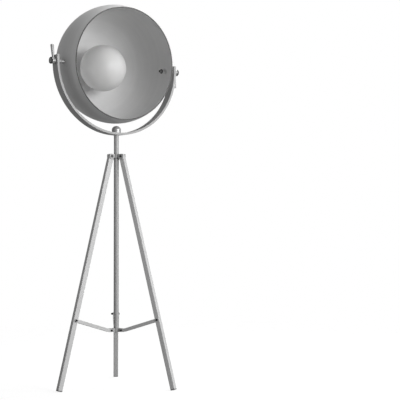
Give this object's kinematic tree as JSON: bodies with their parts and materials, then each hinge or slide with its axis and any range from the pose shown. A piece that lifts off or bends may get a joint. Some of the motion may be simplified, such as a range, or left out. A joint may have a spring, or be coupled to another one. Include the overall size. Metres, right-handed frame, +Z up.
{
  "type": "tripod floor lamp",
  "caption": "Tripod floor lamp with a tilting spun-metal dish shade in a swivelling yoke, opal globe, clamp levers and a folding three-legged stand",
  "frame": {"origin": "on the floor, on the axis of the pole", "axes": "+Z up along the pole; the dish opens towards -Y; the tilt axis of the dish is parallel to X"},
  "size_m": [0.602, 0.5336, 1.5597],
  "materials": {
    "stand_metal": "satin grey powder coat",
    "leg_metal": "satin grey powder coat",
    "yoke_metal": "satin grey powder coat on bent flat bar",
    "dish_metal": "spun, fine satin",
    "bright_metal": "turned, satin nickel",
    "dark_metal": "black oxide",
    "brass_thread": "plain threaded tube",
    "nylon": "natural nylon",
    "holder_plastic": "moulded black",
    "foot_rubber": "moulded, matt",
    "opal_glass": "opal, satin",
    "bulb_glass": "frosted"
  },
  "bodies": {
    "root": {"pole": "stand_metal", "pole_top_plug": "stand_metal", "pole_bottom_plug": "stand_metal", "lower_hub": "stand_metal", "hub_end_screw": "dark_metal", "hub_bolts": "dark_metal", "hub_nuts": "dark_metal", "swivel_washer": "nylon"},
    "collar": {"top_collar": "stand_metal", "leg_bracket_a": "stand_metal", "leg_bracket_b": "stand_metal", "leg_bracket_c": "stand_metal", "bracket_screws": "dark_metal", "collar_lock_screw": "bright_metal", "hinge_bolts": "dark_metal", "hinge_nuts": "dark_metal"},
    "yoke": {"yoke": "yoke_metal", "dome_nut": "bright_metal", "yoke_bush_left": "nylon", "yoke_bush_right": "nylon"},
    "shade": {"shade": "dish_metal", "pivot_spacer_left": "bright_metal", "pivot_spacer_right": "bright_metal", "pivot_bolt_left": "bright_metal", "pivot_bolt_right": "bright_metal", "pivot_nut_left": "bright_metal", "pivot_nut_right": "bright_metal", "rear_cap": "dish_metal", "nipple": "brass_thread", "nipple_nut": "dark_metal", "stem": "bright_metal", "gallery": "bright_metal", "gallery_screws": "bright_metal", "lampholder": "holder_plastic", "bulb_base": "bright_metal", "bulb": "bulb_glass", "globe": "opal_glass", "cable_gland": "holder_plastic"},
    "clamp_left": {"clamp_barrel_left": "bright_metal", "clamp_lever_left": "bright_metal", "clamp_ring_left": "dark_metal"},
    "clamp_right": {"clamp_barrel_right": "bright_metal", "clamp_lever_right": "bright_metal", "clamp_ring_right": "dark_metal"},
    "leg_a": {"leg_a": "leg_metal", "leg_plug_a": "nylon", "foot_a": "foot_rubber"},
    "spreader_a": {"spreader_a": "leg_metal", "spreader_bolt_a": "dark_metal"},
    "leg_b": {"leg_b": "leg_metal", "leg_plug_b": "nylon", "foot_b": "foot_rubber"},
    "spreader_b": {"spreader_b": "leg_metal", "spreader_bolt_b": "dark_metal"},
    "leg_c": {"leg_c": "leg_metal", "leg_plug_c": "nylon", "foot_c": "foot_rubber"},
    "spreader_c": {"spreader_c": "leg_metal", "spreader_bolt_c": "dark_metal"}
  },
  "joints": [
    {"name": "collar_slide", "type": "slide", "parent": "root", "child": "collar", "axis": [0, 0, 1], "range_m": [0, 0.07]},
    {"name": "leg_a_fold", "type": "hinge", "parent": "collar", "child": "leg_a", "pos_m": [-0.027, 0, 0.94], "axis": [0, -1, 0], "range_deg": [0, 2.7]},
    {"name": "spreader_a_fold", "type": "hinge", "parent": "root", "child": "spreader_a", "pos_m": [-0.028, 0, 0.23], "axis": [0, 1, 0], "range_deg": [0, 23.5]},
    {"name": "leg_b_fold", "type": "hinge", "parent": "collar", "child": "leg_b", "pos_m": [0.0135, -0.02338, 0.94], "axis": [0.866, 0.5, 0], "range_deg": [0, 2.7]},
    {"name": "spreader_b_fold", "type": "hinge", "parent": "root", "child": "spreader_b", "pos_m": [0.014, -0.02425, 0.23], "axis": [-0.866, -0.5, 0], "range_deg": [0, 23.5]},
    {"name": "leg_c_fold", "type": "hinge", "parent": "collar", "child": "leg_c", "pos_m": [0.0135, 0.02338, 0.94], "axis": [-0.866, 0.5, 0], "range_deg": [0, 2.7]},
    {"name": "spreader_c_fold", "type": "hinge", "parent": "root", "child": "spreader_c", "pos_m": [0.014, 0.02425, 0.23], "axis": [0.866, -0.5, 0], "range_deg": [0, 23.5]},
    {"name": "yoke_swivel", "type": "hinge", "parent": "root", "child": "yoke", "pos_m": [0, 0, 1.028], "axis": [0, 0, 1], "range_deg": [-170, 170]},
    {"name": "dish_tilt", "type": "hinge", "parent": "yoke", "child": "shade", "pos_m": [0, 0, 1.308], "axis": [1, 0, 0], "range_deg": [-34, 76]},
    {"name": "clamp_left_turn", "type": "hinge", "parent": "yoke", "child": "clamp_left", "pos_m": [-0.287, 0, 1.308], "axis": [-1, 0, 0], "range_deg": [-90, 90]},
    {"name": "clamp_right_turn", "type": "hinge", "parent": "yoke", "child": "clamp_right", "pos_m": [0.287, 0, 1.308], "axis": [1, 0, 0], "range_deg": [-90, 90]}
  ],
  "couplings": [
    {"joint": "leg_a_fold", "follows": "collar_slide", "rad_per_m": 0.6693},
    {"joint": "spreader_a_fold", "follows": "collar_slide", "rad_per_m": 5.843},
    {"joint": "leg_b_fold", "follows": "collar_slide", "rad_per_m": 0.6693},
    {"joint": "spreader_b_fold", "follows": "collar_slide", "rad_per_m": 5.843},
    {"joint": "leg_c_fold", "follows": "collar_slide", "rad_per_m": 0.6693},
    {"joint": "spreader_c_fold", "follows": "collar_slide", "rad_per_m": 5.843}
  ]
}
